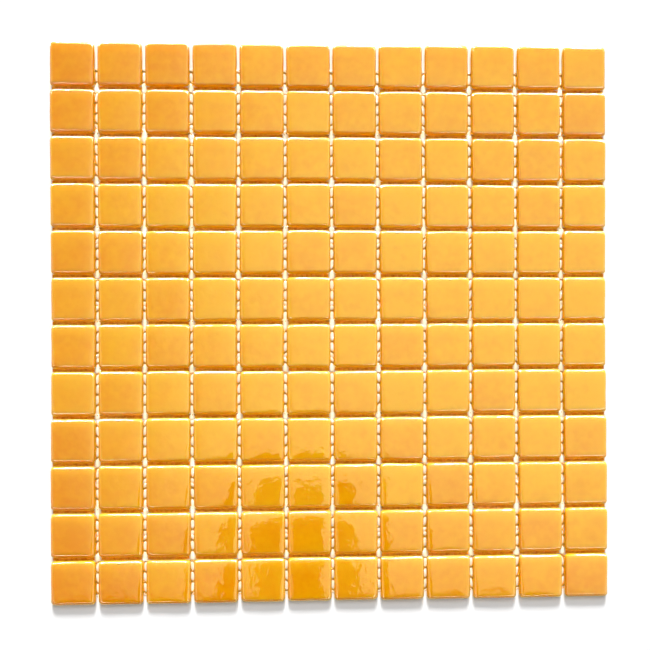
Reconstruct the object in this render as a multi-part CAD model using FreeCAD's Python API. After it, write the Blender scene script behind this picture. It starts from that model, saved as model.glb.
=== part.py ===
import FreeCAD, Part
import math
import os

# A sheet of glass mosaic: rows of square glass tiles, glued face up on an open yarn mesh.
# The sheet lies flat with its face up. X runs along the rows, Y across them and Z up.
# The origin is under the middle of the sheet, on the underside of the mesh.
# All sizes are in millimetres, and angles are in degrees.

# The tiles
ROWS = 12
COLUMNS = 12
TILE_SIDE = 25.0
TILE_THICKNESS = 4.0
CORNER_RADIUS = 2.4
EDGE_RADIUS = 1.4
SIDE_TAPER = 0.3
JOINT_WIDTH = 1.8

# How far the tiles stray from a true grid, and the length of the waves in which they do
STRAY = 0.3
TWIST = 0.35
WAVE_ALONG_ROW = 190.0
WAVE_ACROSS_ROWS = 230.0

# The mesh: lengthwise yarns follow the joints, and crosswise yarns are spaced on their own
MESH_THICKNESS = 0.5
LENGTHWISE_PER_TILE = 5
LENGTHWISE_WIDTH = 1.4
CROSSWISE_SPACING = 5.96
CROSSWISE_WIDTH = 0.6
YARN_END = 1.2
MARGIN_TOP = 14.0
MARGIN_BOTTOM = 4.3
MARGIN_SIDE = 3.0
MESH_STRIPS = 9

# What follows from them
PITCH = TILE_SIDE + JOINT_WIDTH
FIELD_X = COLUMNS * PITCH - JOINT_WIDTH
FIELD_Y = ROWS * PITCH - JOINT_WIDTH
LENGTHWISE_SPACING = PITCH / LENGTHWISE_PER_TILE


def tile_blank():
    """One tile, standing on the mesh at the origin: tapered sides, round corners, soft upper edge."""
    top = TILE_SIDE / 2
    back = top - SIDE_TAPER
    blank = Part.makeWedge(-back, 0, -back, -top, -top, back, TILE_THICKNESS, back, top, top)
    blank.rotate(FreeCAD.Vector(0, 0, 0), FreeCAD.Vector(1, 0, 0), 90)
    corners = [edge for edge in blank.Edges if edge.BoundBox.ZLength > TILE_THICKNESS / 2]
    blank = blank.makeFillet(CORNER_RADIUS, corners)
    rim = [edge for edge in blank.Edges if edge.BoundBox.ZMin > TILE_THICKNESS / 2]
    blank = blank.makeFillet(EDGE_RADIUS, rim)
    blank.translate(FreeCAD.Vector(0, 0, MESH_THICKNESS))
    return blank


def tile_place(row, column):
    """Where a tile lies: its grid place and the small, slow stray of tiles that are set by hand."""
    x = (column - (COLUMNS - 1) / 2) * PITCH
    y = ((ROWS - 1) / 2 - row) * PITCH
    along = 2 * math.pi * x / WAVE_ALONG_ROW
    across = 2 * math.pi * y / WAVE_ACROSS_ROWS
    x += STRAY * math.sin(along) * math.cos(across)
    y += STRAY * math.cos(along) * math.sin(across)
    turn = TWIST * math.sin(along) * math.sin(across)
    return FreeCAD.Placement(FreeCAD.Vector(x, y, 0), FreeCAD.Rotation(FreeCAD.Vector(0, 0, 1), turn))


def tile_row(blank, row):
    """The separate tiles of one row, counted from the top of the sheet."""
    tiles = []
    for column in range(COLUMNS):
        tile = blank.copy()
        tile.Placement = tile_place(row, column).multiply(tile.Placement)
        tiles.append(tile)
    return Part.makeCompound(tiles)


def lengthwise_yarns():
    """X of each lengthwise yarn: one under every joint, and the rest evenly between."""
    middle_joint = 0.0 if COLUMNS % 2 == 0 else PITCH / 2
    reach = FIELD_X / 2 - MARGIN_SIDE
    first = math.ceil((-reach - middle_joint) / LENGTHWISE_SPACING)
    last = math.floor((reach - middle_joint) / LENGTHWISE_SPACING)
    return [middle_joint + number * LENGTHWISE_SPACING for number in range(first, last + 1)]


def crosswise_yarns():
    """Y of each crosswise yarn, from the lower edge of the mesh up."""
    lowest = -FIELD_Y / 2 + MARGIN_BOTTOM + YARN_END + CROSSWISE_WIDTH / 2
    highest = FIELD_Y / 2 - MARGIN_TOP - YARN_END - CROSSWISE_WIDTH / 2
    count = int((highest - lowest) / CROSSWISE_SPACING) + 1
    return [lowest + number * CROSSWISE_SPACING for number in range(count)]


def strip_outline(xs, ys, low_end, high_end):
    """Corners of a strip of mesh, anticlockwise, with the yarn ends that stand out on its four sides."""
    half_x = LENGTHWISE_WIDTH / 2
    half_y = CROSSWISE_WIDTH / 2
    left, right = xs[0] - half_x, xs[-1] + half_x
    low, high = ys[0] - half_y, ys[-1] + half_y
    corners = []
    for x in xs:
        corners += [(x - half_x, low), (x - half_x, low_end), (x + half_x, low_end), (x + half_x, low)]
    for y in ys:
        tip = right + YARN_END
        corners += [(right, y - half_y), (tip, y - half_y), (tip, y + half_y), (right, y + half_y)]
    for x in reversed(xs):
        corners += [(x + half_x, high), (x + half_x, high_end), (x - half_x, high_end), (x - half_x, high)]
    for y in reversed(ys):
        tip = left - YARN_END
        corners += [(left, y + half_y), (tip, y + half_y), (tip, y - half_y), (left, y - half_y)]
    return [corner for corner, before in zip(corners, corners[-1:] + corners[:-1]) if corner != before]


def strip_openings(xs, ys):
    """Corners of each opening between the yarns of a strip, clockwise, as the holes of a face run."""
    half_x = LENGTHWISE_WIDTH / 2
    half_y = CROSSWISE_WIDTH / 2
    openings = []
    for x, next_x in zip(xs, xs[1:]):
        for y, next_y in zip(ys, ys[1:]):
            left, right = x + half_x, next_x - half_x
            low, high = y + half_y, next_y - half_y
            openings.append([(left, low), (left, high), (right, high), (right, low)])
    return openings


def closed_wire(corners):
    """A closed wire of straight edges in the plane z = 0."""
    points = [FreeCAD.Vector(x, y, 0) for x, y in corners]
    return Part.makePolygon(points + points[:1])


def mesh_strip(xs, all_ys, first, last):
    """One strip of the mesh, with its yarns fused where they cross.

    It holds the crosswise yarns from first to last, and meets the next strip halfway between two of them.
    """
    ys = all_ys[first:last + 1]
    low_end = ys[0] - CROSSWISE_WIDTH / 2 - YARN_END
    if first > 0:
        low_end = (all_ys[first - 1] + ys[0]) / 2
    high_end = ys[-1] + CROSSWISE_WIDTH / 2 + YARN_END
    if last < len(all_ys) - 1:
        high_end = (ys[-1] + all_ys[last + 1]) / 2
    wires = [closed_wire(strip_outline(xs, ys, low_end, high_end))]
    wires += [closed_wire(corners) for corners in strip_openings(xs, ys)]
    return Part.Face(wires).extrude(FreeCAD.Vector(0, 0, MESH_THICKNESS))


def write(shape, node):
    shape.exportStep("parts/" + node + ".step")


def main():
    os.makedirs("parts", exist_ok=True)
    blank = tile_blank()
    for row in range(ROWS):
        write(tile_row(blank, row), "tile_row_%02d" % (row + 1))
    xs = lengthwise_yarns()
    ys = crosswise_yarns()
    bounds = [round(number * len(ys) / MESH_STRIPS) for number in range(MESH_STRIPS + 1)]
    for number, (first, after) in enumerate(zip(bounds, bounds[1:])):
        write(mesh_strip(xs, ys, first, after - 1), "backing_mesh_%d" % (number + 1))


main()
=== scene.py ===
import math
import random

import bpy
import numpy as np
from mathutils import Euler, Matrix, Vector


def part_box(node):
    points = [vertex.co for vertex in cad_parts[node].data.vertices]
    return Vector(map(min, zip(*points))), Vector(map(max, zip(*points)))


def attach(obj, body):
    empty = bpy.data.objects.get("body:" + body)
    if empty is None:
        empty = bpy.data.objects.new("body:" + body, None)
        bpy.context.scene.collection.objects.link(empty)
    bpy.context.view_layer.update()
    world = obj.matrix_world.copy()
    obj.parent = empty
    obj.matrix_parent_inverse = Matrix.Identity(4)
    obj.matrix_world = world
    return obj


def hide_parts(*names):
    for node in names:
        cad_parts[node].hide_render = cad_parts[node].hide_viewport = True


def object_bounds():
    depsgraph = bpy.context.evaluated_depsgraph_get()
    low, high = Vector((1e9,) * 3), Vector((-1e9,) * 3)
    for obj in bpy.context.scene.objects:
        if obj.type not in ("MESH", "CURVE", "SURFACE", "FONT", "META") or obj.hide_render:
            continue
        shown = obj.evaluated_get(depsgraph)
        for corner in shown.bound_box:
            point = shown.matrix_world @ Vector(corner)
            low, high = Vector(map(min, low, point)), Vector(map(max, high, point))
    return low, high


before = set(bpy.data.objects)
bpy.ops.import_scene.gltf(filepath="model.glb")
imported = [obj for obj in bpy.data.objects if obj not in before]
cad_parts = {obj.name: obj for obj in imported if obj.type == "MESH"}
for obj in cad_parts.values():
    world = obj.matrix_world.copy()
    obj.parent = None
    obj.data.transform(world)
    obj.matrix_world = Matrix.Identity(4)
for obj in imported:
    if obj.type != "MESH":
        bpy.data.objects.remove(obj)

# A sheet of glass mosaic, lying face up on a pale floor and seen from straight above.
# Lengths are in metres and angles in degrees. X runs along the rows, Y across them and Z up.

MM = 0.001
CAD_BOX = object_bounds()

# The photograph's camera: where it stands over the sheet, how it leans, and its lens on a 36 mm frame
CAMERA_PLACE = (-33.0 * MM, -4.4 * MM, 577.0 * MM)
CAMERA_LEAN = (0.30, -2.88, -0.21)
CAMERA_LENS_MM = 55.4

# The tiles
TILE_NODES = sorted(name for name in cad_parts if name.startswith("tile_row"))
COLUMNS = 12
CORNER_RADIUS = 2.4 * MM
SIDE_TAPER = 0.3 * MM
BELLY = 0.2 * MM
# Radius of the soft upper edge at a tile's near side, at its left and right and at its far side
EDGE_NEAR = 2.0 * MM
EDGE_SIDE = 1.5 * MM
EDGE_FAR = 1.05 * MM
# Near its edges a face sinks a little more: how much, and how far in from the edge
ROLL_DROP = 0.12 * MM
ROLL_REACH = 2.2 * MM
DOME_RADIUS = 500 * MM
# How much the tilt of a face varies, and how much of the room over it the tilt may take
FACE_TILT = 0.5
TILT_SHARE = 0.8
FACE_WAVE = 0.018 * MM
WAVE_LENGTHS_MM = (21, 14, 9.5, 7, 5)
OUTLINE_WAVE = 0.16 * MM
FACE_MARGIN = 0.08 * MM
# Lines of a tile's surface from its middle to its soft edge, and the angles of those on the edge
FLAT_LINES = 8
EDGE_ANGLES = (0, 14, 28, 42, 56, 70, 82)
BACK_ROUNDING = 0.25 * MM
# How far the painted light along a tile's far and right edges reaches in
EDGE_LIGHT_FAR = 3.5 * MM
EDGE_LIGHT_SIDE = 1.8 * MM
# That painted edge light grows from the first row to the fifth
EDGE_LIGHT_FIRST_ROW = 0.4
EDGE_LIGHT_ROWS = 4
# How light the glass is, how much painted shade deepens it towards three sides of the sheet, and how much
# its tone varies at random
TONE = 0.88
PAINTED_SHADE_NEAR = 0.4
PAINTED_SHADE_FAR = 0.3
PAINTED_SHADE_LEFT = 0.4
TONE_SPREAD = 0.13
# Points this close to a tile's far side show how the tile is turned
SIDE_BAND = 0.15 * MM

# The mesh
MESH_NODES = sorted(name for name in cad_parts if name.startswith("backing_mesh"))


def new_piece(name, points, faces, *materials, smooth_angle=40):
    """A mesh piece from points and faces, shaded smooth but for its sharp corners."""
    mesh = bpy.data.meshes.new(name)
    mesh.from_pydata(points, [], faces)
    mesh.shade_smooth()
    mesh.set_sharp_from_angle(angle=math.radians(smooth_angle))
    for material in materials:
        mesh.materials.append(material)
    piece = bpy.data.objects.new(name, mesh)
    bpy.context.scene.collection.objects.link(piece)
    return piece


def add_values(piece, name, values):
    """One number for each point of a piece, for its material to read."""
    piece.data.attributes.new(name, "FLOAT", "POINT").data.foreach_set("value", values)


def node_points(name):
    """The points of a CAD node, one row each."""
    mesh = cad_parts[name].data
    points = np.empty(len(mesh.vertices) * 3)
    mesh.vertices.foreach_get("co", points)
    return points.reshape(-1, 3)


# Tiles

def tile_places(name):
    """Middle, turn and half side of each tile of a row, as its solids lie."""
    points = node_points(name)
    low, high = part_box(name)
    columns = ((points[:, 0] - low.x) / (high.x - low.x) * COLUMNS).astype(int).clip(0, COLUMNS - 1)
    places = []
    for column in range(COLUMNS):
        own = points[columns == column]
        own_low, own_high = own.min(axis=0), own.max(axis=0)
        upper_side = own[own[:, 1] > own_high[1] - SIDE_BAND]
        slope = np.polyfit(upper_side[:, 0], upper_side[:, 1], 1)[0]
        places.append(((own_low + own_high) / 2, math.atan(slope), (own_high - own_low)[0] / 2))
    return places


def depth_from_edge(u, v, half):
    """How far a point lies inside the rounded outline of a tile."""
    core = half - CORNER_RADIUS
    over_u, over_v = np.abs(u) - core, np.abs(v) - core
    outside = np.hypot(np.maximum(over_u, 0), np.maximum(over_v, 0))
    return CORNER_RADIUS - outside - np.minimum(np.maximum(over_u, over_v), 0)


def onto_outline(u, v, half):
    """Moves points of a square on to a smaller copy of the tile's rounded outline."""
    share = np.maximum(np.maximum(np.abs(u), np.abs(v)) / half, 1e-9)
    edge_u, edge_v = u / share, v / share
    core = half - CORNER_RADIUS
    core_u, core_v = edge_u.clip(-core, core), edge_v.clip(-core, core)
    out_u, out_v = edge_u - core_u, edge_v - core_v
    length = np.maximum(np.hypot(out_u, out_v), 1e-9)
    moved_u = share * (core_u + out_u / length * CORNER_RADIUS)
    moved_v = share * (core_v + out_v / length * CORNER_RADIUS)
    return moved_u, moved_v


def face_waves(u, v, dice):
    """Slow waves of a fire-polished face."""
    height = np.zeros_like(u)
    for length in WAVE_LENGTHS_MM:
        way = dice.uniform(0, 2 * math.pi)
        phase = dice.uniform(0, 2 * math.pi)
        run = (u * math.cos(way) + v * math.sin(way)) / (length * MM)
        height += FACE_WAVE * length / WAVE_LENGTHS_MM[0] * np.sin(2 * math.pi * run + phase)
    return height


def edge_lines(half, reach):
    """Where a tile's surface lines lie from its middle to one side, close together on the soft edge."""
    steps = [half - reach * (1 - math.cos(math.radians(angle))) for angle in EDGE_ANGLES]
    return np.concatenate([np.linspace(0, half - reach, FLAT_LINES), steps[::-1]])


def tile_surface(half, thickness, dice):
    """Points and faces of one tile about its own middle, standing on its back."""
    across = edge_lines(half, EDGE_SIDE)
    count = 2 * len(across) - 1
    lines_u = np.concatenate([-across[:0:-1], across])
    lines_v = np.concatenate([-edge_lines(half, EDGE_NEAR)[:0:-1], edge_lines(half, EDGE_FAR)])
    grid_u, grid_v = np.meshgrid(lines_u, lines_v)
    u, v = onto_outline(grid_u.ravel(), grid_v.ravel(), half)
    depth = depth_from_edge(u, v, half)
    toward = v / np.maximum(np.maximum(np.abs(u), np.abs(v)), 1e-9)
    reach = np.interp(toward, (-1, 0, 1), (EDGE_NEAR, EDGE_SIDE, EDGE_FAR))
    rise = 1 - np.minimum(depth.clip(0) / reach, 1)
    z = thickness - FACE_MARGIN - reach * (1 - np.sqrt(1 - rise ** 2))
    z -= (u ** 2 + v ** 2) / (2 * DOME_RADIUS) + ROLL_DROP * np.exp(-depth.clip(0) / ROLL_REACH)
    tilt_u, tilt_v = (math.tan(math.radians(dice.gauss(0, FACE_TILT))) for _ in range(2))
    z += (u * tilt_u + v * tilt_v).clip(-FACE_MARGIN, FACE_MARGIN) * TILT_SHARE
    z += face_waves(u, v, dice)
    bearing = np.arctan2(v, u)
    shrink = sum(np.sin(turns * bearing + dice.uniform(0, 6.28)) for turns in (3, 5, 7)) / 6
    shrink = 1 - OUTLINE_WAVE * shrink / half
    u, v = u * shrink, v * shrink

    faces = []
    for row in range(count - 1):
        for column in range(count - 1):
            start = row * count + column
            faces.append((start, start + 1, start + count + 1, start + count))
    border = list(range(count)) + [row * count + count - 1 for row in range(1, count)]
    border += [count * count - 1 - step for step in range(1, count)]
    border += [row * count for row in range(count - 2, 0, -1)]
    face_count = len(faces)
    points = np.stack([u, v, z], axis=1)
    # Painted light: a lighter amber along the far and right edges of the face, and half of it on the sides
    # below them
    painted_edge_light = [np.exp(-(half - v).clip(0) / EDGE_LIGHT_FAR) + 0.5 * np.exp(-(half - u).clip(0) / EDGE_LIGHT_SIDE)]
    rings = [(-0.8 * BELLY, 0.48 * thickness), (-BELLY, 0.38 * thickness),
             (SIDE_TAPER - BELLY, BACK_ROUNDING), (SIDE_TAPER + BACK_ROUNDING, 0)]
    above = border
    for inset, height in rings:
        first = len(points)
        ring = points[border].copy()
        ring[:, :2] *= 1 - inset / half
        ring[:, 2] = height
        points = np.concatenate([points, ring])
        painted_edge_light.append(painted_edge_light[0][border] * 0.5)
        below = list(range(first, first + len(border)))
        for number in range(len(border)):
            after = (number + 1) % len(border)
            faces.append((above[number], below[number], below[after], above[after]))
        above = below
    faces.append(tuple(reversed(above)))
    finishes = [0] * face_count + [1] * (len(faces) - face_count)
    return points, faces, np.concatenate(painted_edge_light).clip(0, 1), finishes


def tile_tone_and_shade(row, column, dice):
    """How light a tile's glass is: painted shade makes the tiles of the near, far and left sides deeper,
    and the tone varies at random.
    """
    # Painted shade: darker towards the near, far and left sides of the sheet, where the light falls off
    tone_and_shade = TONE - PAINTED_SHADE_NEAR * max(0, row - 7) / 4 - PAINTED_SHADE_FAR * max(0, 3 - row) / 3
    tone_and_shade -= PAINTED_SHADE_LEFT * max(0, 3 - column) / 3
    return min(1, max(0, tone_and_shade + dice.gauss(0, TONE_SPREAD)))


def glass_row(row, name, glass, matt_glass, dice):
    """The tiles of one row: soft edges, slightly domed and wavy faces, tapered sides."""
    low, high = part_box(name)
    points, faces, finishes, painted_edge_lights, tones_and_shades, melts = [], [], [], [], [], []
    places = tile_places(name)
    half = min(place[2] for place in places)
    start = 0
    for column, (middle, turn, _) in enumerate(places):
        own, own_faces, painted_edge_light, finish = tile_surface(half, high.z - low.z, dice)
        cosine, sine = math.cos(turn), math.sin(turn)
        placed = own.copy()
        placed[:, 0] = own[:, 0] * cosine - own[:, 1] * sine + middle[0]
        placed[:, 1] = own[:, 0] * sine + own[:, 1] * cosine + middle[1]
        placed[:, 2] += low.z
        points.append(placed)
        faces += [tuple(start + corner for corner in face) for face in own_faces]
        painted_edge_lights.append(painted_edge_light * (EDGE_LIGHT_FIRST_ROW + (1 - EDGE_LIGHT_FIRST_ROW) * min(1, row / EDGE_LIGHT_ROWS)))
        finishes += finish
        tones_and_shades.append(np.full(len(own), tile_tone_and_shade(row, column, dice)))
        melts.append(np.full(len(own), dice.random()))
        start += len(own)
    points = np.concatenate(points)
    points[:, 0] = points[:, 0].clip(low.x, high.x)
    points[:, 1] = points[:, 1].clip(CAD_BOX[0][1], CAD_BOX[1][1])
    piece = new_piece(name + "_glass", points.tolist(), faces, glass, matt_glass)
    piece.data.polygons.foreach_set("material_index", finishes)
    add_values(piece, "painted_edge_light", np.concatenate(painted_edge_lights))
    add_values(piece, "tone_and_shade", np.concatenate(tones_and_shades))
    add_values(piece, "melt", np.concatenate(melts))
    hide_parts(name)
    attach(piece, "root")
    return piece


# Backing mesh

STITCH_GAP = 1.05 * MM
# Slant of the stitches in degrees, how much it varies and at most, and how often it changes sides
STITCH_SLANT = 16
SLANT_SPREAD = 12
SLANT_LIMIT = 40
LAY_CHANGE = 0.25
ROPE_SWAY = 0.3 * MM
CORE_HEIGHT = 0.10 * MM
CORE_WIDTH_SHARE = 0.35
CROSSWISE_HEIGHT = 0.36 * MM
CROSSWISE_SWELL = 1.8
CROSSWISE_SIDES = 6
# How far to each side of a lengthwise yarn a crosswise one keeps its slant, as a share of the yarn's width
CROSSWISE_REACH = 0.68
CROSSWISE_RISE = 0.12
# Along a stitch from its lower end: how far, how wide and how tall it is
STITCH_SHAPE = ((0.00, 0.35, 0.30), (0.07, 0.70, 0.60), (0.22, 0.98, 0.88), (0.50, 1.10, 1.00),
                (0.78, 0.98, 0.88), (0.93, 0.70, 0.60), (1.00, 0.35, 0.30))
# Across a stitch: two plies side by side, with a groove between them
PLY_SHAPE = ((-1.0, 0.35), (-0.72, 0.86), (-0.36, 1.0), (0.0, 0.66), (0.36, 1.0), (0.72, 0.86), (1.0, 0.35),
             (0.7, 0.0), (0.0, 0.0), (-0.7, 0.0))
# The thicker place of a lengthwise yarn in each crossing of two joints
KNOT_WIDTH = 3.7 * MM
KNOT_LENGTH = 4.4 * MM
# The films of glue in the joints: their width, their tops in joints that run across and down, and how far
# those that run down stop short of the others
FILM_WIDTH = 3.2 * MM
FILM_FOOT = 0.03 * MM
FILM_TOP_ACROSS = 0.26 * MM
FILM_TOP_DOWN = 0.12 * MM
FILM_STOP = 1.7 * MM
# Films that run across end this far from the joints that run down, and reach this far past the yarns
FILM_END_GAP = 1.1 * MM
FILM_OVERHANG = 2 * MM
FILM_LEAST = 1 * MM
FILM_STEPS = 8
# The yarns keep their white, free of the painted amber light, this close to a joint that runs down, and
# below this height
PAINTED_LIGHT_FREE = 1.5 * MM
PAINTED_LIGHT_FROM = 0.05 * MM


def yarn_bars(values):
    """Ends of the whole cloth in one direction, and the two sides of each yarn between them."""
    values = np.unique(np.round(values / MM, 3)) * MM
    return values[0], values[-1], list(zip(values[1:-1:2], values[2:-1:2]))


def tube(sections, points, faces):
    """Joins ring after ring of points into a closed tube, and adds it to points and faces."""
    start, sides = len(points), len(sections[0])
    for section in sections:
        points += section
    for number in range(len(sections) - 1):
        for side in range(sides):
            here = start + number * sides + side
            beside = start + number * sides + (side + 1) % sides
            faces.append((here, beside, beside + sides, here + sides))
    faces.append(tuple(start + side for side in reversed(range(sides))))
    faces.append(tuple(start + (len(sections) - 1) * sides + side for side in range(sides)))


def stitch(x, half_width, low, high, slants, height, lean, groove, points, faces):
    """One stitch of a lengthwise yarn: two plies side by side, laid over like a strand of rope."""
    sections = []
    for along, wide, tall in STITCH_SHAPE:
        y = low + (high - low) * along
        slant = slants[0] + (slants[1] - slants[0]) * along
        middle = x + lean * (along - 0.5)
        section = []
        for across, up in PLY_SHAPE:
            offset = (across + groove * (along - 0.5) * (1 - abs(across))) * half_width * wide
            section.append((middle + offset, y + offset * slant, height * tall * up))
        sections.append(section)
    tube(sections, points, faces)


def lengthwise_yarn(left, right, ys, ends, slants, height, dice, points, faces):
    """A chain of stitches, one between each two crosswise yarns, on a thin core that runs through."""
    x, half_width = (left + right) / 2, (right - left) / 2
    core = half_width * CORE_WIDTH_SHARE
    sections = []
    for y in ends:
        section = [(x - core, y, 0.0), (x + core, y, 0.0)]
        section += [(x + core, y, CORE_HEIGHT), (x - core, y, CORE_HEIGHT)]
        sections.append(section)
    tube(sections, points, faces)
    breaks = [ends[0]] + ys + [ends[1]]
    slopes = [slants[0]] + slants + [slants[-1]]
    for number in range(len(breaks) - 1):
        low = breaks[number] + (STITCH_GAP / 2 if number > 0 else 0)
        high = breaks[number + 1] - (STITCH_GAP / 2 if number < len(ys) else 0)
        lay = (slopes[number], slopes[number + 1])
        lean = ROPE_SWAY * (lay[0] + lay[1]) * dice.uniform(0.6, 1.6)
        middle = x + dice.gauss(0, 0.09 * MM)
        wide = half_width * dice.uniform(1.2, 1.45)
        tall = height * dice.uniform(0.9, 1.0)
        groove = dice.uniform(-1, 1)
        stitch(middle, wide, low, high, lay, tall, lean, groove, points, faces)


def crosswise_yarn(low, high, ends, xs, slants, reach, points, faces):
    """A thin yarn that rises and dips across the lengthwise yarns, and slants between their stitches."""
    y, half_width = (low + high) / 2, (high - low) / 2
    stations = [(ends[0], 0.0, 0.0)]
    for number, x in enumerate(xs):
        rise = CROSSWISE_RISE * (-1) ** number
        stations += [(x - reach, -slants[number] * reach, rise), (x + reach, slants[number] * reach, rise)]
    stations.append((ends[1], 0.0, 0.0))
    half_width *= CROSSWISE_SWELL
    sections = []
    for x, shift, rise in stations:
        middle = CROSSWISE_HEIGHT * (0.5 + rise)
        section = []
        for side in range(CROSSWISE_SIDES):
            angle = 2 * math.pi * side / CROSSWISE_SIDES
            up = 0.38 * CROSSWISE_HEIGHT * math.sin(angle)
            section.append((x, y + shift + half_width * math.cos(angle), middle + up))
        sections.append(section)
    tube(sections, points, faces)


def crossing_knots(joints, range_y, height, dice, points, faces):
    """The knots of one strip of mesh, where its yarns show in the wide crossings of the joints."""
    down, across = joints
    for y in across[(across > range_y[0]) & (across < range_y[1])]:
        for x in down:
            half_length = KNOT_LENGTH / 2 * dice.uniform(0.8, 1.1)
            middle_y = y + dice.gauss(0, 0.3 * MM)
            middle_x = x + dice.gauss(0, 0.12 * MM)
            wide = KNOT_WIDTH / 2 * dice.uniform(0.8, 1.1)
            tall = height * dice.uniform(0.93, 0.99)
            lean = dice.gauss(0, 0.3 * MM)
            groove = dice.uniform(-1, 1)
            stitch(middle_x, wide, middle_y - half_length, middle_y + half_length, (0.0, 0.0), tall, lean,
                   groove, points, faces)


def glue_film(start, end, top, dice, points, faces):
    """A flat strip of glue from one point to another, with wavy edges and rounded ends."""
    run, cross = (end - start), (end - start).normalized().orthogonal()
    sides = ([], [])
    for number in range(FILM_STEPS + 1):
        along = number / FILM_STEPS
        full = 0.55 + 0.35 * min(1.0, 6 * min(along, 1 - along))
        for side, sign in zip(sides, (-1, 1)):
            side.append(start + run * along + cross * sign * FILM_WIDTH / 2 * (full + 0.1 * dice.random()))
    outline = sides[1] + sides[0][::-1]
    first = len(points)
    for height in (FILM_FOOT, top):
        points += [(corner.x, corner.y, height) for corner in outline]
    total = len(outline)
    faces.append(tuple(first + number for number in range(total)))
    faces.append(tuple(first + total + number for number in reversed(range(total))))
    for number in range(total):
        after = (number + 1) % total
        faces.append((first + number, first + total + number, first + total + after, first + after))


def glue_films(joints, ends, range_y, dice, points, faces):
    """The films of one strip of mesh, apart from each other so that no two of them meet."""
    down, across = joints
    for y in across[(across > range_y[0]) & (across < range_y[1])]:
        starts = [ends[0] - FILM_OVERHANG] + [x + FILM_END_GAP for x in down]
        stops = [x - FILM_END_GAP for x in down] + [ends[1] + FILM_OVERHANG]
        for start, stop in zip(starts, stops):
            glue_film(Vector((start, y)), Vector((stop, y)), FILM_TOP_ACROSS, dice, points, faces)
    for low, high in zip([range_y[0], *(across + FILM_STOP)], [*(across - FILM_STOP), range_y[1]]):
        low, high = max(low, range_y[0]), min(high, range_y[1])
        for x in down if high - low > FILM_LEAST else ():
            glue_film(Vector((x, low)), Vector((x, high)), FILM_TOP_DOWN, dice, points, faces)


def sheet_joints():
    """X of the joints that run down the sheet, and y of those that run across it."""
    places = [[place[0] for place in tile_places(name)] for name in TILE_NODES]
    middles_x = np.mean([[place[0] for place in row] for row in places], axis=0)
    middles_y = np.sort(np.mean([[place[1] for place in row] for row in places], axis=1))
    return (middles_x[1:] + middles_x[:-1]) / 2, (middles_y[1:] + middles_y[:-1]) / 2


def mesh_piece(name, joints, yarn, glue, dice):
    """One strip of the backing mesh as yarns, with the films of glue that hang on it."""
    cad_points = node_points(name)
    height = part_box(name)[1].z
    left_end, right_end, columns = yarn_bars(cad_points[:, 0])
    low_end, high_end, rows = yarn_bars(cad_points[:, 1])
    points, faces = [], []
    ys = [(low + high) / 2 for low, high in rows]
    xs = [(low + high) / 2 for low, high in columns]
    slants = []
    for _ in columns:
        lay = dice.choice((-1, 1))
        column = []
        for _ in rows:
            lay = -lay if dice.random() < LAY_CHANGE else lay
            slant = min(SLANT_LIMIT, max(0, dice.gauss(STITCH_SLANT, SLANT_SPREAD)))
            column.append(lay * math.tan(math.radians(slant)))
        slants.append(column)
    for (left, right), own in zip(columns, slants):
        lengthwise_yarn(left, right, ys, (low_end, high_end), own, height, dice, points, faces)
    stitched = len(points)
    reach = (columns[0][1] - columns[0][0]) * CROSSWISE_REACH
    for (low, high), own in zip(rows, zip(*slants)):
        crosswise_yarn(low, high, (left_end, right_end), xs, own, reach, points, faces)
    woven = len(points)
    crossing_knots(joints, (low_end, high_end), height, dice, points, faces)
    knotted, knotted_faces = len(points), len(faces)
    glue_films(joints, (left_end, right_end), (low_end, high_end), dice, points, faces)
    piece = new_piece(name + "_yarns", points, faces, yarn, glue, smooth_angle=70)
    finishes = [0] * knotted_faces + [1] * (len(faces) - knotted_faces)
    piece.data.polygons.foreach_set("material_index", finishes)
    counts = np.arange(len(points))
    # Painted shade: the crosswise yarns are marked for a dark brown that darkens the gaps between the
    # stitches
    add_values(piece, "painted_dash_shade", (counts >= stitched) & (counts < woven))
    # Painted light: yarns away from the joints that run down are painted amber, for the light that the
    # glass colours
    places = np.array(points)
    in_joint = np.abs(places[:, :1] - joints[0]).min(axis=1) < PAINTED_LIGHT_FREE
    in_knot = (counts >= woven) & (counts < knotted)
    white = in_joint | in_knot | (places[:, 2] < PAINTED_LIGHT_FROM)
    add_values(piece, "painted_amber_light", np.where(white, 0.0, 1.0))
    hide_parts(name)
    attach(piece, "root")
    return piece


# Materials

class Nodes:
    """Short calls for building a node tree."""

    def __init__(self, tree):
        self.tree = tree
        tree.nodes.clear()

    def add(self, kind, **settings):
        node = self.tree.nodes.new(kind)
        for name, value in settings.items():
            setattr(node, name, value)
        return node

    def link(self, start, end):
        self.tree.links.new(start, end)

    def fill(self, node, **inputs):
        """Sets or links inputs by name, with _ for a space."""
        for name, value in inputs.items():
            socket = node.inputs[name.replace("_", " ")]
            if isinstance(value, bpy.types.NodeSocket):
                self.link(value, socket)
            else:
                socket.default_value = value
        return node

    def math(self, operation, first, second=None, clamp=False):
        node = self.add("ShaderNodeMath", operation=operation, use_clamp=clamp)
        for socket, value in zip(node.inputs, (first, second)):
            if isinstance(value, bpy.types.NodeSocket):
                self.link(value, socket)
            elif value is not None:
                socket.default_value = value
        return node.outputs[0]

    def mix(self, amount, first, second, blend="MIX"):
        node = self.add("ShaderNodeMix", data_type="RGBA", blend_type=blend)
        for socket, value in ((node.inputs[0], amount), (node.inputs[6], first), (node.inputs[7], second)):
            if isinstance(value, bpy.types.NodeSocket):
                self.link(value, socket)
            else:
                socket.default_value = value
        return node.outputs[2]

    def value(self, name):
        """One of the values that the points of the piece carry."""
        return self.add("ShaderNodeAttribute", attribute_name=name).outputs["Fac"]

    def remap(self, value, low, high, to_low=0.0, to_high=1.0):
        node = self.add("ShaderNodeMapRange", interpolation_type="SMOOTHSTEP")
        self.fill(node, Value=value, From_Min=low, From_Max=high, To_Min=to_low, To_Max=to_high)
        return node.outputs[0]


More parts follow.
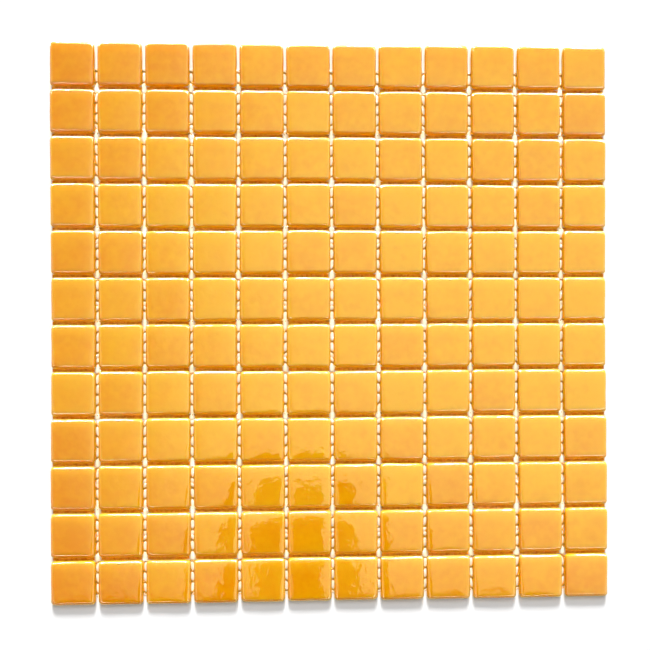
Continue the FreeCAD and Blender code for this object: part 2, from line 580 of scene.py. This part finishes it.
def linear(red, green, blue):
    """An sRGB colour of 0 to 255 as Blender's linear colour."""
    parts = []
    for part in (red, green, blue):
        part /= 255
        parts.append(part / 12.92 if part <= 0.04045 else ((part + 0.055) / 1.055) ** 2.4)
    return (*parts, 1.0)


def cloud_group():
    """Soft clouds over a surface: a mask of about 0 to 1 with a size, a sharpness and a seed."""
    group = bpy.data.node_groups.new("soft_clouds", "ShaderNodeTree")
    nodes = Nodes(group)
    for name, kind, value in (("Vector", "NodeSocketVector", None), ("Seed", "NodeSocketFloat", 0.0),
                              ("Scale", "NodeSocketFloat", 100.0), ("Detail", "NodeSocketFloat", 3.0),
                              ("Low", "NodeSocketFloat", 0.35), ("High", "NodeSocketFloat", 0.65)):
        socket = group.interface.new_socket(name, in_out="INPUT", socket_type=kind)
        if value is not None:
            socket.default_value = value
    group.interface.new_socket("Mask", in_out="OUTPUT", socket_type="NodeSocketFloat")
    entry = nodes.add("NodeGroupInput")
    noise = nodes.add("ShaderNodeTexNoise", noise_dimensions="4D")
    nodes.fill(noise, Vector=entry.outputs["Vector"], W=entry.outputs["Seed"],
               Scale=entry.outputs["Scale"], Detail=entry.outputs["Detail"])
    mask = nodes.remap(noise.outputs["Fac"], entry.outputs["Low"], entry.outputs["High"])
    leave = nodes.add("NodeGroupOutput")
    nodes.link(mask, leave.inputs[0])
    return group


def new_material(name):
    material = bpy.data.materials.new(name)
    material.use_nodes = True
    nodes = Nodes(material.node_tree)
    shader = nodes.add("ShaderNodeBsdfPrincipled")
    leave = nodes.add("ShaderNodeOutputMaterial")
    nodes.link(shader.outputs[0], leave.inputs["Surface"])
    return material, nodes, shader


def clouds(nodes, group, vector, seed, scale, detail=3.0, low=0.35, high=0.65):
    node = nodes.add("ShaderNodeGroup")
    node.node_tree = group
    nodes.fill(node, Vector=vector, Seed=seed, Scale=scale, Detail=detail, Low=low, High=high)
    return node.outputs["Mask"]


AMBER = linear(248, 178, 4)
AMBER_DEEP = linear(233, 147, 1)
# Painted light: the lighter amber of the tiles' far and right edges and of their sides
AMBER_LIGHT = linear(254, 204, 46)
AMBER_DULL = linear(235, 157, 12)
AMBER_PALE = linear(250, 182, 32)
GLOW_DEPTH = 0.005
GLOW_COLOURS = (1.0, 0.75, 0.12)
YARN_WHITE = linear(247, 250, 234)
YARN_SHADE = linear(246, 235, 202)
# Painted shade: the dark brown of the crosswise yarns
YARN_PAINTED_SHADE = linear(160, 118, 36)
# Painted light: the amber of the yarns away from the joints that run down
YARN_PAINTED_LIGHT = linear(250, 176, 44)
# Painted light: the amber of the glue films in the joints
GLUE_PAINTED_LIGHT = linear(253, 190, 44)


def amber_glass(group):
    """Opaque amber glass, fire-polished: its tone changes at random from tile to tile and clouds over each
    face, with painted shade that deepens the tiles towards three sides of the sheet and painted light along
    each tile's far and right edges.
    """
    material, nodes, shader = new_material("amber_glass")
    place = nodes.add("ShaderNodeTexCoord").outputs["Object"]
    tone_and_shade, melt, painted_edge_light = nodes.value("tone_and_shade"), nodes.value("melt"), nodes.value("painted_edge_light")
    seed = nodes.math("MULTIPLY", melt, 50.0)
    broad = clouds(nodes, group, place, seed, 75.0, 2.0, 0.3, 0.7)
    fine = clouds(nodes, group, place, seed, 260.0, 4.0, 0.3, 0.7)
    mottle = nodes.math("ADD", nodes.math("MULTIPLY", broad, 0.26), nodes.math("MULTIPLY", fine, 0.26))
    # The tone carries the painted shade of the sheet's near, far and left sides
    shade = nodes.math("ADD", tone_and_shade, nodes.math("SUBTRACT", mottle, 0.26), clamp=True)
    colour = nodes.mix(shade, AMBER_DEEP, AMBER)
    dull = clouds(nodes, group, place, seed, 130.0, 3.0, 0.55, 0.8)
    colour = nodes.mix(nodes.math("MULTIPLY", dull, 0.5), colour, AMBER_DULL)
    colour = nodes.mix(nodes.remap(melt, 0.5, 1.0, 0.0, 0.3), colour, AMBER_PALE)
    # Painted light: the far and right edges are mixed towards a lighter amber
    colour = nodes.mix(nodes.math("MULTIPLY", painted_edge_light, 0.75), colour, AMBER_LIGHT)
    nodes.fill(shader, Base_Color=colour)
    rough = nodes.remap(fine, 0.0, 1.0, 0.015, 0.05)
    nodes.fill(shader, Roughness=rough, IOR=1.52, Coat_Weight=1.0, Coat_Roughness=0.015, Coat_IOR=1.5)
    nodes.fill(shader, Subsurface_Weight=1.0, Subsurface_Scale=GLOW_DEPTH)
    shader.inputs["Subsurface Radius"].default_value = GLOW_COLOURS
    ripple = nodes.add("ShaderNodeTexNoise", noise_dimensions="4D")
    nodes.fill(ripple, Vector=place, W=seed, Scale=300.0, Detail=1.0, Roughness=0.5, Distortion=0.5)
    bump = nodes.add("ShaderNodeBump")
    nodes.fill(bump, Strength=0.22, Distance=0.0004, Height=ripple.outputs["Fac"])
    nodes.link(bump.outputs[0], shader.inputs["Normal"])
    nodes.link(bump.outputs[0], shader.inputs["Coat Normal"])
    return material


def matt_glass(group):
    """The sides and backs of the tiles, as the mould left them, in a lighter amber than the faces: painted
    light on the walls between the tiles.
    """
    material, nodes, shader = new_material("matt_amber_glass")
    place = nodes.add("ShaderNodeTexCoord").outputs["Object"]
    seed = nodes.math("MULTIPLY", nodes.value("melt"), 50.0)
    grain = clouds(nodes, group, place, seed, 500.0, 4.0, 0.3, 0.7)
    # Painted light: the sides take a lighter amber than the faces
    nodes.fill(shader, Base_Color=nodes.mix(grain, AMBER, AMBER_LIGHT))
    nodes.fill(shader, Roughness=0.6, Specular_IOR_Level=0.12)
    nodes.fill(shader, Subsurface_Weight=1.0, Subsurface_Scale=GLOW_DEPTH)
    shader.inputs["Subsurface Radius"].default_value = GLOW_COLOURS
    bump = nodes.add("ShaderNodeBump")
    nodes.fill(bump, Strength=0.3, Distance=0.0003, Height=grain)
    nodes.link(bump.outputs[0], shader.inputs["Normal"])
    return material


def yarn_cloth(group):
    """White yarn, stiffened with adhesive: the crosswise yarns are painted dark brown as painted shade in
    the gaps between the stitches, and away from the joints that run down the yarns are painted amber as
    painted light from the glass."""
    material, nodes, shader = new_material("white_yarn")
    place = nodes.add("ShaderNodeTexCoord").outputs["Object"]
    patch = clouds(nodes, group, place, 3.0, 300.0, 3.0, 0.35, 0.7)
    colour = nodes.mix(patch, YARN_WHITE, YARN_SHADE)
    # Painted shade: the crosswise yarns are mixed to dark brown
    colour = nodes.mix(nodes.value("painted_dash_shade"), colour, YARN_PAINTED_SHADE)
    # Painted light: the yarns away from the joints that run down are mixed to amber
    colour = nodes.mix(nodes.value("painted_amber_light"), colour, YARN_PAINTED_LIGHT)
    nodes.fill(shader, Base_Color=colour, Roughness=0.6, Sheen_Weight=0.15)
    fibre = nodes.add("ShaderNodeTexNoise")
    nodes.fill(fibre, Vector=place, Scale=2600.0, Detail=2.0)
    bump = nodes.add("ShaderNodeBump")
    nodes.fill(bump, Strength=0.5, Distance=0.0001, Height=fibre.outputs["Fac"])
    nodes.link(bump.outputs[0], shader.inputs["Normal"])
    return material


def dried_glue(group):
    """Dried glue, painted amber as painted light from the glass that it lies between."""
    material, nodes, shader = new_material("dried_glue")
    place = nodes.add("ShaderNodeTexCoord").outputs["Object"]
    patch = clouds(nodes, group, place, 8.0, 400.0, 3.0)
    # Painted light: the films are painted amber for the light that the glass colours
    nodes.fill(shader, Base_Color=nodes.mix(patch, GLUE_PAINTED_LIGHT, AMBER_DEEP), Roughness=0.5, Specular_IOR_Level=0.3)
    return material


# Studio

# Each lamp: bearing from the near side, height over the floor and spread in degrees, and its share of the
# light on the floor
LAMPS = (("key", 180, 25.5, 13, 0.57), ("fill", 180, 50, 26, 0.26), ("left", 270, 50, 50, 0.10),
         ("right", 90, 50, 50, 0.10), ("near", 20, 42, 44, 0.08), ("below", 0, -80, 60, 0.10))
AMBIENT = 0.004
CEILING_COLOUR = (1.0, 1.0, 0.58, 1.0)
CEILING_LEFT = 0.65
CEILING_RIGHT = 1.7
CEILING_FALL = 0.78
# Degrees from straight up at which the ceiling ends, less at the near side and more at the other two
CEILING_EDGE = 48.0
CEILING_EDGE_NEAR = 30.0
CEILING_EDGE_SIDE = 20.0
GAP_LIGHT = 0.04
SIDE_LIGHT = 0.6
STRIP_LIGHT = 12.0
WINDOW_LIGHT = 200.0
FAR_WALL_LIGHT = 1.0
WHITE = (1.0, 1.0, 1.0, 1.0)
FLOOR_SIZE = 6.0
CARD_HEIGHT = 1.0
CARD_OUTLINE = ((-12, -231), (111, -231), (122, -300), (140, -620), (-95, -620), (-65, -300))


def floor():
    """A plain white floor that lets the view and a weak lamp through from below, to show the back."""
    material = bpy.data.materials.new("floor")
    material.use_nodes = True
    nodes = Nodes(material.node_tree)
    matt = nodes.fill(nodes.add("ShaderNodeBsdfDiffuse"), Color=(0.97, 0.97, 0.97, 1.0))
    clear = nodes.add("ShaderNodeBsdfTransparent")
    side = nodes.add("ShaderNodeNewGeometry").outputs["Backfacing"]
    shadow = nodes.add("ShaderNodeLightPath").outputs["Is Shadow Ray"]
    mix = nodes.add("ShaderNodeMixShader")
    nodes.link(nodes.math("MAXIMUM", side, shadow), mix.inputs[0])
    nodes.link(matt.outputs[0], mix.inputs[1])
    nodes.link(clear.outputs[0], mix.inputs[2])
    leave = nodes.add("ShaderNodeOutputMaterial")
    nodes.link(mix.outputs[0], leave.inputs["Surface"])
    half = FLOOR_SIZE / 2
    corners = [(-half, -half, 0), (half, -half, 0), (half, half, 0), (-half, half, 0)]
    plane = new_piece("floor", corners, [(0, 1, 2, 3)], material)
    plane.location.z = -0.02 * MM


def dark_card():
    """A dark card over the near side of the sheet, which only the gloss of the tiles shows."""
    material = bpy.data.materials.new("dark_card")
    material.use_nodes = True
    nodes = Nodes(material.node_tree)
    dark = nodes.fill(nodes.add("ShaderNodeBsdfDiffuse"), Color=(0.01, 0.01, 0.01, 1.0))
    leave = nodes.add("ShaderNodeOutputMaterial")
    nodes.link(dark.outputs[0], leave.inputs["Surface"])
    corners = [(CAMERA_PLACE[0] + x * MM, CAMERA_PLACE[1] + y * MM, CARD_HEIGHT) for x, y in CARD_OUTLINE]
    card = new_piece("dark_card", corners, [tuple(range(len(corners)))], material)
    card.visible_camera = False
    card.visible_diffuse = False
    card.visible_transmission = False
    card.visible_shadow = False


def lamps():
    """A low soft lamp on the far side with a fill above it, and weaker ones on the other sides."""
    for name, bearing, height, spread, share in LAMPS:
        lamp = bpy.data.lights.new(name, "SUN")
        lamp.energy = share * math.pi / abs(math.sin(math.radians(height)))
        lamp.angle = math.radians(spread)
        light = bpy.data.objects.new(name, lamp)
        light.rotation_euler = Euler((math.radians(90 - height), 0, math.radians(bearing)))
        light.visible_glossy = False
        bpy.context.scene.collection.objects.link(light)


def studio():
    """The room as the gloss sees it: a white ceiling, a window behind the far side and dark walls.

    Matt surfaces see only a little of it, and the camera sees white.
    """
    world = bpy.data.worlds.new("studio")
    bpy.context.scene.world = world
    world.use_nodes = True
    nodes = Nodes(world.node_tree)
    way = nodes.add("ShaderNodeTexCoord").outputs["Generated"]
    split = nodes.add("ShaderNodeSeparateXYZ")
    nodes.link(way, split.inputs[0])
    lean = nodes.math("DEGREES", nodes.math("ARCCOSINE", split.outputs["Z"]))
    flat = nodes.math("MAXIMUM", nodes.math("SINE", nodes.math("RADIANS", lean)), 0.05)
    bearing = nodes.math("DIVIDE", split.outputs["Y"], flat)
    far = nodes.remap(bearing, 0.35, 0.8)
    near = nodes.remap(bearing, -0.35, -0.8)
    side = nodes.remap(nodes.math("DIVIDE", nodes.math("ABSOLUTE", split.outputs["X"]), flat), 0.5, 0.9)
    ceiling = nodes.remap(split.outputs["X"], -0.26, 0.06, CEILING_LEFT, CEILING_RIGHT)
    ceiling = nodes.math("ADD", ceiling, nodes.remap(split.outputs["X"], -0.36, -0.5, 0.0, 0.6))
    fall = nodes.remap(nodes.math("ABSOLUTE", split.outputs["Y"]), 0.08, 0.35, 1.0, CEILING_FALL)
    ceiling = nodes.math("MULTIPLY", ceiling, fall)
    edge = nodes.math("SUBTRACT", CEILING_EDGE, nodes.math("MULTIPLY", near, CEILING_EDGE_NEAR))
    edge = nodes.math("ADD", edge, nodes.math("MULTIPLY", side, CEILING_EDGE_SIDE))
    gap = nodes.math("ADD", nodes.math("MULTIPLY", side, SIDE_LIGHT), GAP_LIGHT)
    past_edge = nodes.math("SUBTRACT", lean, edge)
    ceiling = nodes.math("MULTIPLY", ceiling, nodes.remap(past_edge, 0.0, 4.0, 1.0, gap))
    strip = nodes.math("MULTIPLY", nodes.remap(lean, 35.0, 37.0), nodes.remap(lean, 46.0, 44.0))
    strip = nodes.math("MULTIPLY", strip, nodes.math("MULTIPLY", near, STRIP_LIGHT))
    aside = nodes.remap(nodes.math("ABSOLUTE", split.outputs["X"]), 0.05, 0.2, 0.12, 1.0)
    strip = nodes.math("MULTIPLY", strip, aside)
    window = nodes.math("MULTIPLY", nodes.remap(lean, 49.0, 52.0), nodes.remap(lean, 61.0, 58.0))
    window = nodes.math("MULTIPLY", window, WINDOW_LIGHT)
    window = nodes.math("ADD", window, nodes.remap(lean, 56.0, 60.0, 0.0, FAR_WALL_LIGHT))
    window = nodes.math("MULTIPLY", window, far)
    seen = nodes.math("ADD", ceiling, nodes.math("ADD", strip, window))
    path = nodes.add("ShaderNodeLightPath")
    gloss = nodes.add("ShaderNodeMix", data_type="FLOAT")
    nodes.link(path.outputs["Is Glossy Ray"], gloss.inputs[0])
    gloss.inputs[2].default_value = AMBIENT
    nodes.link(seen, gloss.inputs[3])
    view = nodes.add("ShaderNodeMix", data_type="FLOAT")
    nodes.link(path.outputs["Is Camera Ray"], view.inputs[0])
    nodes.link(gloss.outputs[0], view.inputs[2])
    view.inputs[3].default_value = 1.0
    white = nodes.math("MAXIMUM", nodes.remap(lean, 34.0, 48.0), path.outputs["Is Camera Ray"])
    background = nodes.add("ShaderNodeBackground")
    nodes.fill(background, Color=nodes.mix(white, CEILING_COLOUR, WHITE))
    nodes.link(view.outputs[0], background.inputs["Strength"])
    leave = nodes.add("ShaderNodeOutputWorld")
    nodes.link(background.outputs[0], leave.inputs["Surface"])


def camera():
    """The photograph's view."""
    data = bpy.data.cameras.new("camera")
    data.lens = CAMERA_LENS_MM
    data.clip_start = 0.01
    view = bpy.data.objects.new("camera", data)
    view.location = CAMERA_PLACE
    view.rotation_euler = Euler([math.radians(angle) for angle in CAMERA_LEAN])
    bpy.context.scene.collection.objects.link(view)
    bpy.context.scene.camera = view
    bpy.context.scene.view_settings.view_transform = "Standard"


def main():
    camera()
    lamps()
    studio()
    floor()
    dark_card()
    group = cloud_group()
    glass = amber_glass(group)
    matt = matt_glass(group)
    yarn = yarn_cloth(group)
    glue = dried_glue(group)
    for number, name in enumerate(TILE_NODES):
        glass_row(number, name, glass, matt, random.Random(100 + number))
    joints = sheet_joints()
    for number, name in enumerate(MESH_NODES):
        mesh_piece(name, joints, yarn, glue, random.Random(200 + number))


main()
